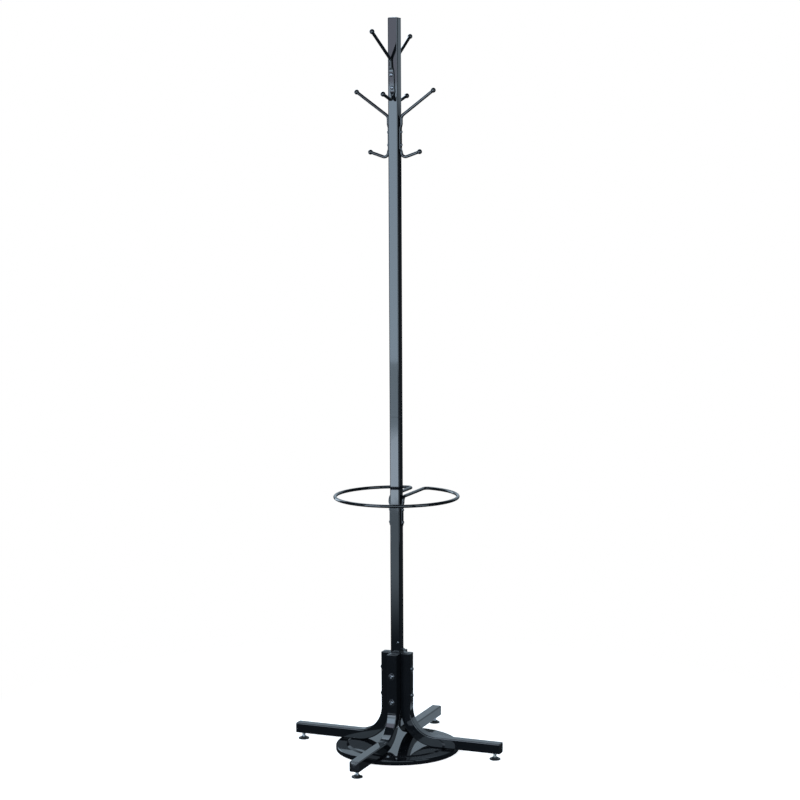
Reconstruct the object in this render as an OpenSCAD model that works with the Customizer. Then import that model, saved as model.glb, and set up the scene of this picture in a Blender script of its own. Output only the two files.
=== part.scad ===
// Standing coat rack with four double hooks, an umbrella ring and a base disc.
// Frame: +Z up, origin on the floor on the axis of the column.
// The legs point along +X, +Y, -X and -Y, and -Y is the front.

/* [Column] */
// Overall height, from the floor to the top of the column
column_h = 1778; // [1500:1:1900]
// Side of the square steel tube, the same for the column and the legs
tube_w = 25.4; // [25:0.1:26]
// Wall of the square tube
tube_wall = 1.5; // [1.2:0.1:2]
// Outer corner radius of the square tube
tube_corner_r = 3; // [2.5:0.1:4]
// Height of the joint between the lower and the upper column tube
column_joint_z = 825; // [760:1:900]

/* [Legs] */
// Reach of a leg from the column axis to its end cap
leg_reach = 272; // [265:1:290]
// Height of the underside of a leg
leg_under_z = 16.5; // [16:0.1:22]
// Bend radius on the centre line of a leg
leg_bend_r = 76.2; // [70:0.1:80]
// Height of the top of a leg's upright, cap included
leg_top_z = 245.5; // [240:0.5:248]
// Bolt heights of the front and back legs
bolt_z_y = [125, 190];
// Bolt heights of the left and right legs
bolt_z_x = [138, 204];

/* [Base disc] */
// Outer diameter of the base disc
disc_d = 303.4; // [290:0.1:310]
// Diameter of its raised centre
disc_centre_d = 239; // [230:1:245]
// Thickness of its pressed sheet
disc_sheet = 2; // [1.5:0.1:2.2]

/* [Umbrella ring] */
// Centre line radius of the ring
ring_r = 149.6; // [130:0.1:160]
// Centre height of the ring
ring_z = 629.5; // [600:0.5:660]
// Wire diameter of the ring
ring_wire_d = 8; // [7:0.1:9]

/* [Hooks] */
// Rod diameter of a hook
hook_rod_d = 7.6; // [7:0.1:8.5]
// Diameter of the ball on a hook's end
hook_ball_d = 12; // [11:0.1:14]
// Reach of the upper ball from the column axis
hook_upper_reach = 101.6; // [90:0.1:110]
// Reach of the lower ball from the column axis
hook_lower_reach = 65; // [60:0.1:70]
// Height of the upper ball of the front and back hooks
hook_high_z = 1738.7; // [1700:0.1:1745]
// Height of the upper ball of the left and right hooks
hook_low_z = 1604.4; // [1585:0.1:1610]
// Turn of a hook's prongs about its rod, clockwise seen from above
hook_twist_a = 5; // [0:0.5:8]
// Lean of the front and back hooks about their lower screw, tops towards -X
hook_tilt_a = 3.5; // [0:0.5:5]

/* [Glides] */
// Distance of a glide from the column axis
glide_r = 254; // [250:0.5:255]
// Diameter of a glide pad
glide_pad_d = 27; // [24:0.5:30]
// Diameter of a glide's threaded stud
glide_stud_d = 8; // [8:0.1:8.2]

/* [Hidden] */
$fn = 64;
SIDES = ["front", "right", "back", "left"];
SIDE_ANGLES = [-90, 0, 90, 180];

STEEL = [0.06, 0.065, 0.075];
PLASTIC = [0.05, 0.05, 0.055];
ZINC = [0.75, 0.76, 0.78];
eps = 0.01;
over = 1;
half_w = tube_w / 2;
bore_w = tube_w - 2 * tube_wall;
bore_corner_r = tube_corner_r - tube_wall;

// Column
column_bottom_z = 60;
cap_h = 3.5;
column_crown_r = 70;
sleeve_h = 120;
sleeve_gap = 0.1;
sleeve_wall = 1.5;
plug_gap = 0.2;
base_screw_d = 4;
base_screw_hole_d = 4.2;
base_screw_l = 6;
base_screw_head = [6, 1.2];
base_screw_z_front = 270;
base_screw_x_front = 7;
base_screw_z_right = 252;
knob_head = [7.5, 3.2];
knob_neck_l = 4;

// Legs
upright_x = tube_w;
bend_x = upright_x + leg_bend_r;
bend_z = leg_under_z + half_w + leg_bend_r;
leg_cap_h = 3;
leg_crown_r = 62;
plug_h = 7;
bolt_d = 6;
bolt_hole_d = 6.6;
bolt_grip_l = 2;
leg_hole_l = 5;
head_d = 13;
head_h = 4;
nut_h = 4.8;
nut_bore_d = 6.1;
nut_bore_l = 2.2;
hex_key_w = 4;
hex_key_depth = 2.2;
washer_d = 16;
washer_t = 1;
cluster_r = half_w + tube_w;

// Base disc
disc_r = disc_d / 2;
disc_centre_r = disc_centre_d / 2;
disc_step_w = 6.5;
disc_step_h = 2.5;
disc_edge_r = 3;
disc_edge_steps = 6;
disc_bottom_z = 2.3;
disc_screw_r = 109;
disc_screw_d = 4.9;
disc_screw_l = 9;
disc_hole_d = 5.6;
disc_thread_d = 5;
screw_d = 5;
screw_hole_d = 5.3;
screw_head_d = 9.5;
screw_head_h = 3;
screw_l = 10;

// Pressed flats of the ring and the hooks
flat_t = 4;
flat_w = 12.6;
rod_gap = 0.1;
neck_l = 7;
joint_gap = 0.1;
joint_swell = 0.1;

// Umbrella ring
ring_x = half_w + rod_gap + ring_wire_d / 2;
ring_turn_r = 12;
ring_drop_r = 12;
ring_joint_a = 0.05;
ring_turn_y = sqrt(pow(ring_r - ring_turn_r, 2) - pow(ring_x + ring_turn_r, 2));
ring_turn_a = atan((ring_x + ring_turn_r) / ring_turn_y);
ring_flat_top_z = ring_z - 20;
ring_flat_bottom_z = 557;
ring_screw_z = [566.5, 597];

// Hooks
hook_x = half_w + rod_gap + hook_rod_d / 2;
upper_bend_r = 14;
upper_bend_a = 55;
lower_bend_r = 11;
lower_bend_a = 108;
ball_socket = 4;
hook_ball_drop = 143.4;
hook_flat_top = -84;
hook_flat_bottom = -139;
hook_screw_drops = [-127, -96.5];
hook_tilts = [hook_tilt_a, 0, -hook_tilt_a, 0];

// Glides
glide_pad_h = 6.5;
glide_pad_rim_h = 2.6;
glide_boss_d = 13;
glide_foot_chamfer = 1;
glide_boss_chamfer = [1, 1.6];
glide_floor_t = 2;
glide_fit = 0.05;
stud_top_z = 34;
insert_d = 11;
insert_top_z = 31;
insert_flange_d = 13;
insert_flange_t = 1.5;
insert_hole_gap = 0.15;

// ---- shared shapes ----

// Square outline with round corners, centred
module round_square(w, r) {
    square([w - 2 * r, w], center = true);
    square([w, w - 2 * r], center = true);
    for (x = [-1, 1], y = [-1, 1])
        translate([x * (w / 2 - r), y * (w / 2 - r)]) circle(r);
}

// Cross section of the square tube
module tube_section() {
    difference() {
        round_square(tube_w, tube_corner_r);
        round_square(bore_w, bore_corner_r);
    }
}

// Turns a shape drawn for the +X side to another side of the column
module on_side(i) {
    rotate([0, 0, SIDE_ANGLES[i]]) children();
}

// Hole along the local X axis through everything within +-reach
module cross_hole(d, z, reach = 60) {
    translate([-reach, 0, z]) rotate([0, 90, 0]) cylinder(d = d, h = 2 * reach);
}

// Low dome of base diameter d and height h, on the XY plane
module dome(d, h) {
    ball_r = (h * h + d * d / 4) / (2 * h);
    intersection() {
        translate([0, 0, h - ball_r]) sphere(ball_r, $fn = 96);
        cylinder(d = d + over, h = h + over);
    }
}

// Round-head screw with its head's seat on the XY plane and its shank along -Z
module screw(d, l, dome_d, dome_h) {
    dome(dome_d, dome_h);
    translate([0, 0, -l]) cylinder(d = d, h = l + eps);
}

// Ball a hair wider than the rod, which makes a joint between two stretches one solid
module joint_ball(d) {
    sphere(d = d + joint_swell);
}

// Rod along the steps [straight length, bend radius, bend angle] from the origin up,
// bending towards local +X
module rod_path(steps, d, i = 0) {
    l = steps[i][0];
    r = steps[i][1];
    a = steps[i][2];
    translate([0, 0, joint_gap]) cylinder(d = d, h = l - 2 * joint_gap);
    if (r > 0)
        translate([0, 0, l]) {
            joint_ball(d);
            translate([r, 0, 0]) rotate([90, 0, 180])
                rotate_extrude(angle = a) translate([r, 0]) circle(d = d);
            translate([r * (1 - cos(a)), 0, r * sin(a)]) rotate([0, a, 0]) {
                joint_ball(d);
                rod_path(steps, d, i + 1);
            }
        }
}

// Stretch of rod pressed flat against the column's +X face, from z0 to z1 with round ends
module pressed_flat(z0, z1) {
    translate([half_w, 0, 0]) rotate([90, 0, 90]) linear_extrude(flat_t) {
        translate([-flat_w / 2, z0 + flat_w / 2]) square([flat_w, z1 - z0 - flat_w]);
        for (z = [z0 + flat_w / 2, z1 - flat_w / 2])
            translate([0, z]) circle(d = flat_w);
    }
}

// Space above the end of a pressed flat, taken from a rod that rises out of it:
// end_z is the height of the flat's end and up is +1 at its top, -1 at its bottom
module neck_cut(end_z, up) {
    x0 = half_w + flat_t;
    translate([0, flat_w / 2, 0]) rotate([90, 0, 0]) linear_extrude(flat_w)
        polygon([
            [x0, end_z - up * flat_w],
            [x0, end_z - up * neck_l],
            [x0 + neck_l, end_z + up * neck_l],
            [x0 + neck_l, end_z - up * flat_w]
        ]);
}

// ---- column ----

module column_tube(z0, z1) {
    translate([0, 0, z0]) linear_extrude(z1 - z0) tube_section();
}

// Screw holes of one hook or ring tab through the +X wall only
module wall_holes(zs, d) {
    for (z = zs)
        translate([0, 0, z]) rotate([0, 90, 0]) cylinder(d = d, h = tube_w);
}

module column_lower() {
    color(STEEL) difference() {
        column_tube(column_bottom_z, column_joint_z);
        for (z = bolt_z_x) cross_hole(bolt_hole_d, z);
        rotate([0, 0, 90]) for (z = bolt_z_y) cross_hole(bolt_hole_d, z);
        for (i = [1, 3]) on_side(i) wall_holes(ring_screw_z, screw_hole_d);
        on_side(0) translate([0, base_screw_x_front, 0])
            wall_holes([base_screw_z_front], base_screw_hole_d);
        on_side(1) wall_holes([base_screw_z_right], base_screw_hole_d);
    }
}

module column_upper() {
    color(STEEL) difference() {
        column_tube(column_joint_z, column_h - cap_h);
        for (i = [0 : 3]) at_hook(i) wall_holes(hook_screw_drops, screw_hole_d);
    }
}

module column_sleeve() {
    w = bore_w - 2 * sleeve_gap;
    color(STEEL) translate([0, 0, column_joint_z - sleeve_h / 2]) linear_extrude(sleeve_h)
        difference() {
            round_square(w, bore_corner_r);
            round_square(w - 2 * sleeve_wall, bore_corner_r - sleeve_wall / 2);
        }
}

// Square plug with a crowned cap on it, its shoulder on the XY plane
module tube_plug(h, crown_r) {
    intersection() {
        linear_extrude(h) round_square(tube_w, tube_corner_r);
        translate([0, 0, h - crown_r]) sphere(crown_r, $fn = 96);
    }
    translate([0, 0, -plug_h]) linear_extrude(plug_h + eps)
        round_square(bore_w - 2 * plug_gap, bore_corner_r);
}

module column_top_cap() {
    color(PLASTIC) translate([0, 0, column_h - cap_h]) tube_plug(cap_h, column_crown_r);
}

module column_base_screws() {
    color(STEEL) {
        on_side(0) translate([half_w, base_screw_x_front, base_screw_z_front])
            rotate([0, 90, 0]) screw(base_screw_d, base_screw_l, base_screw_head[0], base_screw_head[1]);
        on_side(1) translate([half_w + knob_neck_l, 0, base_screw_z_right]) rotate([0, 90, 0])
            screw(base_screw_d, knob_neck_l + base_screw_l, knob_head[0], knob_head[1]);
    }
}

// ---- legs ----

module leg_tube() {
    translate([upright_x, 0, bend_z]) linear_extrude(leg_top_z - leg_cap_h - bend_z)
        tube_section();
    translate([bend_x, 0, bend_z]) rotate([90, 180, 0])
        rotate_extrude(angle = 90) translate([leg_bend_r, 0]) tube_section();
    translate([bend_x, 0, leg_under_z + half_w]) rotate([0, 90, 0])
        linear_extrude(leg_reach - leg_cap_h - bend_x) tube_section();
}

module leg(i) {
    color(STEEL) on_side(i) difference() {
        leg_tube();
        for (z = (i % 2 == 0) ? bolt_z_y : bolt_z_x) cross_hole(bolt_hole_d, z);
        translate([disc_screw_r, 0, leg_under_z - over]) cylinder(d = disc_thread_d, h = leg_hole_l);
        translate([glide_r, 0, leg_under_z - over])
            cylinder(d = insert_d + 2 * insert_hole_gap, h = leg_hole_l);
    }
}

module leg_top_cap(i) {
    color(PLASTIC) on_side(i) translate([upright_x, 0, leg_top_z - leg_cap_h])
        tube_plug(leg_cap_h, leg_crown_r);
}

module leg_end_cap(i) {
    color(PLASTIC) on_side(i)
        translate([leg_reach - leg_cap_h, 0, leg_under_z + half_w]) rotate([0, 90, 0])
            tube_plug(leg_cap_h, leg_crown_r);
}

// Places children at the nut ends of the bolts where end is +1 and at the head ends where it
// is -1, with the seat on the leg's outer face and the outward direction along local Z
module at_bolt_ends(end) {
    for (z = bolt_z_y) on_side(end > 0 ? 2 : 0)
        translate([cluster_r, 0, z]) rotate([0, 90, 0]) children();
    for (z = bolt_z_x) on_side(end > 0 ? 3 : 1)
        translate([cluster_r, 0, z]) rotate([0, 90, 0]) children();
}

module leg_bolts() {
    bolt_l = 2 * cluster_r + 2 * washer_t;
    color(STEEL) at_bolt_ends(-1) translate([0, 0, washer_t]) difference() {
        screw(bolt_d, bolt_l + bolt_grip_l, head_d, head_h);
        translate([0, 0, head_h - hex_key_depth])
            cylinder(d = hex_key_w * 2 / sqrt(3), h = head_h, $fn = 6);
    }
}

module leg_cap_nuts() {
    color(STEEL) at_bolt_ends(1) translate([0, 0, washer_t]) difference() {
        dome(head_d, nut_h);
        translate([0, 0, -eps]) cylinder(d = nut_bore_d, h = nut_bore_l);
    }
}

module leg_washers() {
    color(STEEL) for (end = [-1, 1]) at_bolt_ends(end) difference() {
        cylinder(d = washer_d, h = washer_t);
        translate([0, 0, -over]) cylinder(d = bolt_hole_d, h = washer_t + 2 * over);
    }
}

// ---- base disc ----

// Points of a quarter arc of radius r about c, from straight up round to +X
function edge_arc(c, r) = [for (k = [0 : disc_edge_steps])
    let (a = 90 * k / disc_edge_steps) c + r * [sin(a), cos(a)]];

// Half section of the pressed sheet: raised centre, step, flat band, rounded edge and skirt
module disc_section() {
    top = leg_under_z;
    band = top - disc_step_h;
    step_r = disc_centre_r + disc_step_w;
    edge = [disc_r - disc_edge_r, band - disc_edge_r];
    outside = edge_arc(edge, disc_edge_r);
    inside = edge_arc(edge, disc_edge_r - disc_sheet);
    polygon(concat(
        [[0, top], [disc_centre_r, top], [step_r, band]],
        outside,
        [[disc_r, disc_bottom_z], [disc_r - disc_sheet, disc_bottom_z]],
        [for (k = [len(inside) - 1 : -1 : 0]) inside[k]],
        [[step_r, band - disc_sheet], [disc_centre_r, top - disc_sheet],
         [0, top - disc_sheet]]
    ));
}

module base_disc() {
    color(STEEL) difference() {
        rotate_extrude($fn = 128) disc_section();
        for (i = [0 : 3]) on_side(i) translate([disc_screw_r, 0, 0])
            cylinder(d = disc_hole_d, h = leg_under_z + over);
    }
}

module base_disc_screws() {
    color(STEEL) for (i = [0 : 3]) on_side(i)
        translate([disc_screw_r, 0, leg_under_z - disc_sheet]) rotate([180, 0, 0])
            screw(disc_screw_d, disc_screw_l, screw_head_d, screw_head_h);
}

// ---- umbrella ring ----

// Right end of the ring's wire: the turn inwards, the arm to the column and the tab on
// the column's +X face
module ring_end() {
    translate([ring_x + ring_turn_r, ring_turn_y, ring_z]) rotate([0, 0, 90 - ring_turn_a]) {
        rotate_extrude(angle = 90 + ring_turn_a)
            translate([ring_turn_r, 0]) circle(d = ring_wire_d);
        translate([ring_turn_r, 0, 0]) joint_ball(ring_wire_d);
    }
    translate([ring_x, ring_turn_y, ring_z]) rotate([90, 90, 0]) {
        joint_ball(ring_wire_d);
        rod_path([[ring_turn_y - ring_drop_r, ring_drop_r, 90],
                  [ring_z - ring_drop_r - ring_flat_top_z + flat_w / 2, 0, 0]],
                 ring_wire_d);
    }
    pressed_flat(ring_flat_bottom_z, ring_flat_top_z);
}

module umbrella_ring() {
    // The wire runs round the back from one inward turn to the other
    start_a = 90 + ring_turn_a + ring_joint_a;
    color(STEEL) difference() {
        union() {
            translate([0, 0, ring_z]) rotate([0, 0, start_a])
                rotate_extrude(angle = 540 - 2 * start_a, $fn = 128)
                    translate([ring_r, 0]) circle(d = ring_wire_d);
            ring_end();
            mirror([1, 0, 0]) ring_end();
        }
        for (z = ring_screw_z) cross_hole(screw_hole_d, z);
        neck_cut(ring_flat_top_z, 1);
        mirror([1, 0, 0]) neck_cut(ring_flat_top_z, 1);
    }
}

module umbrella_ring_screws() {
    color(STEEL) for (i = [1, 3], z = ring_screw_z) on_side(i)
        translate([half_w + flat_t, 0, z]) rotate([0, 90, 0])
            screw(screw_d, screw_l, screw_head_d, screw_head_h);
}

// ---- hooks ----

// Height of the upper ball on side i
function hook_z(i) = (i % 2 == 0) ? hook_high_z : hook_low_z;

// Places a hook drawn on the column's +X face with its upper ball at height 0: on side i, at
// its height, leaning about its lower screw
module at_hook(i) {
    on_side(i) translate([0, 0, hook_z(i) + hook_screw_drops[0]]) rotate([hook_tilts[i], 0, 0])
        translate([0, 0, -hook_screw_drops[0]]) children();
}

// Turns the prongs of a hook about the axis of its rod
module twisted() {
    translate([hook_x, 0, 0]) rotate([0, 0, -hook_twist_a]) translate([-hook_x, 0, 0]) children();
}

// Upper prong: the straight run ends at the ball
upper_run = (hook_upper_reach - hook_x - upper_bend_r * (1 - cos(upper_bend_a)))
    / sin(upper_bend_a);
upper_rise = upper_bend_r * sin(upper_bend_a) + upper_run * cos(upper_bend_a);
// Lower prong: the straight run ends at the ball
lower_run = (hook_lower_reach - hook_x - lower_bend_r * (1 - cos(lower_bend_a)))
    / sin(lower_bend_a);
lower_rise = -lower_bend_r * sin(lower_bend_a) - lower_run * cos(lower_bend_a);

module hook(i) {
    z_upper = hook_flat_top - flat_w / 2;
    z_lower = hook_flat_bottom + flat_w / 2;
    color(STEEL) at_hook(i) difference() {
        union() {
            twisted() translate([hook_x, 0, z_upper])
                rod_path([[-upper_rise - z_upper, upper_bend_r, upper_bend_a],
                          [upper_run - ball_socket, 0, 0]], hook_rod_d);
            twisted() translate([hook_x, 0, z_lower]) mirror([0, 0, 1])
                rod_path([[z_lower + hook_ball_drop + lower_rise, lower_bend_r, lower_bend_a],
                          [lower_run - ball_socket, 0, 0]], hook_rod_d);
            pressed_flat(hook_flat_bottom, hook_flat_top);
        }
        neck_cut(hook_flat_top, 1);
        neck_cut(hook_flat_bottom, -1);
        wall_holes(hook_screw_drops, screw_hole_d);
    }
}

module hook_ball(bend_a) {
    difference() {
        sphere(d = hook_ball_d);
        rotate([0, bend_a, 0]) translate([0, 0, -hook_ball_d])
            cylinder(d = hook_rod_d, h = hook_ball_d - ball_socket);
    }
}

module hook_balls(i) {
    color(STEEL) at_hook(i) twisted() {
        translate([hook_upper_reach, 0, 0]) hook_ball(upper_bend_a);
        translate([hook_lower_reach, 0, -hook_ball_drop]) hook_ball(180 - lower_bend_a);
    }
}

module hook_screws() {
    color(STEEL) for (i = [0 : 3], drop = hook_screw_drops) at_hook(i)
        translate([half_w + flat_t, 0, drop]) rotate([0, 90, 0])
            screw(screw_d, screw_l, screw_head_d, screw_head_h);
}

// ---- glides ----

module glide_insert(i) {
    color(ZINC) on_side(i) translate([glide_r, 0, 0]) difference() {
        union() {
            translate([0, 0, leg_under_z]) cylinder(d = insert_d, h = insert_top_z - leg_under_z);
            translate([0, 0, leg_under_z - insert_flange_t])
                cylinder(d = insert_flange_d, h = insert_flange_t);
        }
        translate([0, 0, leg_under_z - insert_flange_t - over])
            cylinder(d = glide_stud_d + 2 * glide_fit, h = insert_top_z);
    }
}

module glide_stud(i) {
    color(ZINC) on_side(i) translate([glide_r, 0, glide_floor_t + glide_fit])
        cylinder(d = glide_stud_d, h = stud_top_z - glide_floor_t - glide_fit);
}

module glide_pad(i) {
    pad_r = glide_pad_d / 2;
    boss_r = glide_boss_d / 2;
    color(PLASTIC) on_side(i) translate([glide_r, 0, 0]) difference() {
        rotate_extrude() polygon([
            [0, 0],
            [pad_r - glide_foot_chamfer, 0],
            [pad_r, glide_foot_chamfer],
            [pad_r, glide_pad_rim_h],
            [boss_r + glide_boss_chamfer[0], glide_pad_h - glide_boss_chamfer[1]],
            [boss_r, glide_pad_h],
            [0, glide_pad_h]
        ]);
        translate([0, 0, glide_floor_t])
            cylinder(d = glide_stud_d + 2 * glide_fit, h = glide_pad_h);
    }
}

column_lower();
column_upper();
column_sleeve();
column_top_cap();
column_base_screws();
leg(0);  // leg_front
leg(1);  // leg_right
leg(2);  // leg_back
leg(3);  // leg_left
leg_top_cap(0);  // leg_top_cap_front
leg_top_cap(1);  // leg_top_cap_right
leg_top_cap(2);  // leg_top_cap_back
leg_top_cap(3);  // leg_top_cap_left
leg_end_cap(0);  // leg_end_cap_front
leg_end_cap(1);  // leg_end_cap_right
leg_end_cap(2);  // leg_end_cap_back
leg_end_cap(3);  // leg_end_cap_left
leg_bolts();
leg_cap_nuts();
leg_washers();
base_disc();
base_disc_screws();
umbrella_ring();
umbrella_ring_screws();
hook(0);  // hook_front
hook(1);  // hook_right
hook(2);  // hook_back
hook(3);  // hook_left
hook_balls(0);  // hook_balls_front
hook_balls(1);  // hook_balls_right
hook_balls(2);  // hook_balls_back
hook_balls(3);  // hook_balls_left
hook_screws();
glide_insert(0);  // glide_insert_front
glide_insert(1);  // glide_insert_right
glide_insert(2);  // glide_insert_back
glide_insert(3);  // glide_insert_left
glide_stud(0);  // glide_stud_front
glide_stud(1);  // glide_stud_right
glide_stud(2);  // glide_stud_back
glide_stud(3);  // glide_stud_left
glide_pad(0);  // glide_pad_front
glide_pad(1);  // glide_pad_right
glide_pad(2);  // glide_pad_back
glide_pad(3);  // glide_pad_left
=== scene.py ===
"""Looks of the standing coat rack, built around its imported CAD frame. Metres, +Z up, -Y front."""
import math

import bpy
from mathutils import Matrix, Vector


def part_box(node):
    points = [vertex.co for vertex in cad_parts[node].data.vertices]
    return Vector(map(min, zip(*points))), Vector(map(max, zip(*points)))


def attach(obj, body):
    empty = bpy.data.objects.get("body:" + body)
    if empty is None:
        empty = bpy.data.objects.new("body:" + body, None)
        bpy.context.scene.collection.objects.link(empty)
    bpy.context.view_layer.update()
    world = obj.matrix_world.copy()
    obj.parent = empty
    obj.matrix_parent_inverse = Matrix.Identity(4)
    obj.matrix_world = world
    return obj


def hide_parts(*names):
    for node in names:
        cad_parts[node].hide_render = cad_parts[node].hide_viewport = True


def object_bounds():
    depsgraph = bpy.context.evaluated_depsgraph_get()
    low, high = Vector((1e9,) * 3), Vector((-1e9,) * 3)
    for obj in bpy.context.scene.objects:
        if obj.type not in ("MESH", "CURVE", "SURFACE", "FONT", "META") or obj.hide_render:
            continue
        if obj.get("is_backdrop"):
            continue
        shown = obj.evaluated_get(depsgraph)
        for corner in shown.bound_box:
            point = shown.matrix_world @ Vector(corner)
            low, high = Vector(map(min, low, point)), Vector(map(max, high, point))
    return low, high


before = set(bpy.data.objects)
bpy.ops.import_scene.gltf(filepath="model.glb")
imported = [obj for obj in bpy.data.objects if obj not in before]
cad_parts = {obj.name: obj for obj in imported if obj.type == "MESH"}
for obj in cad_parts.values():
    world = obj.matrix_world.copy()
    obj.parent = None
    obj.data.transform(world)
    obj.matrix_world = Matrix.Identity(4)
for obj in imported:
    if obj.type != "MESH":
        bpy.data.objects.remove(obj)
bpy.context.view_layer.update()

MM = 0.001
SIDES = {"front": -90, "right": 0, "back": 90, "left": 180}

# ---- sizes, from the frame where it has them ----

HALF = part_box("column_lower")[1].x
COLUMN_BOTTOM, JOINT_Z = (corner.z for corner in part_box("column_lower"))
COLUMN_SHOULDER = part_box("column_upper")[1].z
COLUMN_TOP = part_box("column_top_cap")[1].z
TUBE_WALL = 1.5 * MM
TUBE_CORNER = 3 * MM
TUBE_CHAMFER = 0.25 * MM
COLUMN_CROWN_R = 70 * MM
CAP_EASE = 0.8 * MM
CAP_GAP = 0.3 * MM
CAP_LEAST_CORNER = 0.3 * MM
CAP_INSETS = (2 * MM, 4 * MM, 6 * MM, 8 * MM, 10 * MM, 11.5 * MM)

LEG_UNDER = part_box("leg_right")[0].z
LEG_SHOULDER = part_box("leg_right")[1].z
LEG_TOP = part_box("leg_top_cap_right")[1].z
LEG_TIP_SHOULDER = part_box("leg_right")[1].x
LEG_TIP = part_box("leg_end_cap_right")[1].x
LEG_AXIS_Z = LEG_UNDER + HALF
LEG_CROWN_R = 62 * MM
UPRIGHT_X = 2 * HALF
LEG_BEND_R = 76.2 * MM
BEND_X = UPRIGHT_X + LEG_BEND_R
BEND_Z = LEG_AXIS_Z + LEG_BEND_R
CLUSTER_FACE = UPRIGHT_X + HALF
BOLT_Z = {"front": (125 * MM, 190 * MM), "right": (138 * MM, 204 * MM)}
BOLT_Z |= {"back": BOLT_Z["front"], "left": BOLT_Z["right"]}
BOLT_HEAD_D = 13 * MM
BOLT_HEAD_H = 4 * MM
CAP_NUT_H = 4.8 * MM
HEX_KEY = 4 * MM
HEX_DEPTH = 2.2 * MM
WASHER_D = 16 * MM
WASHER_T = 1 * MM
WASHER_BORE_R = 3.3 * MM
WASHER_EDGE_R = 0.2 * MM
WASHER_RIM_R = 0.35 * MM

DISC_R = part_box("base_disc")[1].x
DISC_BOTTOM, DISC_TOP = (corner.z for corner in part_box("base_disc"))
DISC_CENTRE_R = 119.5 * MM
DISC_STEP_W = 6.5 * MM
DISC_STEP_H = 2.5 * MM
DISC_SHEET = 2 * MM
DISC_EDGE_R = 3 * MM
DISC_STEP_FILLET = 2 * MM
DISC_HEM_R = 0.6 * MM
DISC_SKIRT_FILLET = 1 * MM
DISC_SCREW_R = 109 * MM

# Flats pressed into the rods where they lie on the column, and the round heads of all fasteners
FLAT_T = 4 * MM
FLAT_W = 12.6 * MM
ROD_GAP = 0.1 * MM
SCREW_HEAD_D = 9.5 * MM
SCREW_HEAD_H = 3 * MM
CROSS_L = 5 * MM
CROSS_W = 1.3 * MM
CROSS_DEPTH = 1.6 * MM
RECESS_R = 2.7 * MM
RECESS_FLARE = 1.04
RECESS_LIP = 0.12 * MM
RECESS_MOUTH = 0.35 * MM
RECESS_CONE = 0.3 * MM
HEAD_SEAT_EASE = 0.15 * MM
HEAD_EDGE_H = 0.12 * MM
HEAD_CROWN_SHARE = 0.97

RING_WIRE_D = 8 * MM
RING_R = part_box("umbrella_ring")[1].x - RING_WIRE_D / 2
RING_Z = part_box("umbrella_ring")[1].z - RING_WIRE_D / 2
RING_TAB_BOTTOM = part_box("umbrella_ring")[0].z
RING_TAB_TOP = RING_Z - 20 * MM
RING_TAB_RUN = (-5 * MM, 6 * MM)
RING_BEND_R = 12 * MM
RING_SCREW_Z = (566.5 * MM, 597 * MM)

HOOK_ROD_D = 7.6 * MM
HOOK_BALL_R = 6 * MM
HOOK_UPPER_REACH = 101.6 * MM
HOOK_LOWER_REACH = 65 * MM
HOOK_Z = {"front": 1738.7 * MM, "right": 1604.4 * MM, "back": 1738.7 * MM, "left": 1604.4 * MM}
HOOK_TWIST = math.radians(5)
HOOK_TILT = {"front": math.radians(3.5), "right": 0, "back": math.radians(-3.5), "left": 0}
HOOK_BALL_DROP = 143.4 * MM
HOOK_FLAT_TOP = -84 * MM
HOOK_FLAT_BOTTOM = -139 * MM
HOOK_FLAT_RUN_IN = 3 * MM
HOOK_FLAT_RUN_OUT = (-4 * MM, 7 * MM)
HOOK_SCREW_DROPS = (-127 * MM, -96.5 * MM)
HOOK_UPPER_BEND = (14 * MM, math.radians(55))
HOOK_LOWER_BEND = (11 * MM, math.radians(108))
BALL_SOCKET = 4 * MM
BALL_FILLET = 0.9 * MM

# The small screw on the front and the knob on the right, at the foot of the column
FOOT_SCREW_D = 6 * MM
FOOT_SCREW_H = 1.2 * MM
FOOT_SCREW_Y = 7 * MM
FOOT_SCREW_Z = 270 * MM
KNOB_D = 7.5 * MM
KNOB_H = 3.2 * MM
KNOB_SEAT = 4 * MM
KNOB_NECK_R = 2 * MM
KNOB_NECK_TOP = 4.1 * MM
KNOB_Z = 252 * MM

GLIDE_R = 254 * MM
PAD_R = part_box("glide_pad_right")[1].x - GLIDE_R
PAD_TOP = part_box("glide_pad_right")[1].z
STUD_BOTTOM, STUD_TOP = (corner.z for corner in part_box("glide_stud_right"))
STUD_R = 4 * MM
THREAD_PITCH = 1.25 * MM
THREAD_DEPTH = 0.65 * MM
THREAD_FLANK = (0.12, 0.88)
INSERT_BOTTOM, INSERT_TOP = (corner.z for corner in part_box("glide_insert_right"))
THREAD_GAP = 0.05 * MM
GLIDE_HOLE_R = STUD_R + THREAD_GAP
GLIDE_HOLE_FLOOR = 2 * MM
FLANGE_R = 6.5 * MM
SOCKET_R = 5.5 * MM

# Outline of a glide's pad, from its hollow underside round to its hole: radius, height, fillet
PAD_OUTLINE = [(0, 0.4 * MM, 0), (8.5 * MM, 0.4 * MM, 0.2 * MM), (9 * MM, 0, 0.2 * MM),
               (PAD_R - 0.2 * MM, 0, 0.7 * MM), (PAD_R, 2.7 * MM, 0.9 * MM),
               (PAD_R - 2.5 * MM, 3.4 * MM, 1.5 * MM), (7.6 * MM, 4.4 * MM, 1.5 * MM),
               (6.6 * MM, PAD_TOP, 0.5 * MM), (GLIDE_HOLE_R, PAD_TOP, 0.3 * MM),
               (GLIDE_HOLE_R, GLIDE_HOLE_FLOOR, 0), (0, GLIDE_HOLE_FLOOR, 0)]

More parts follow.
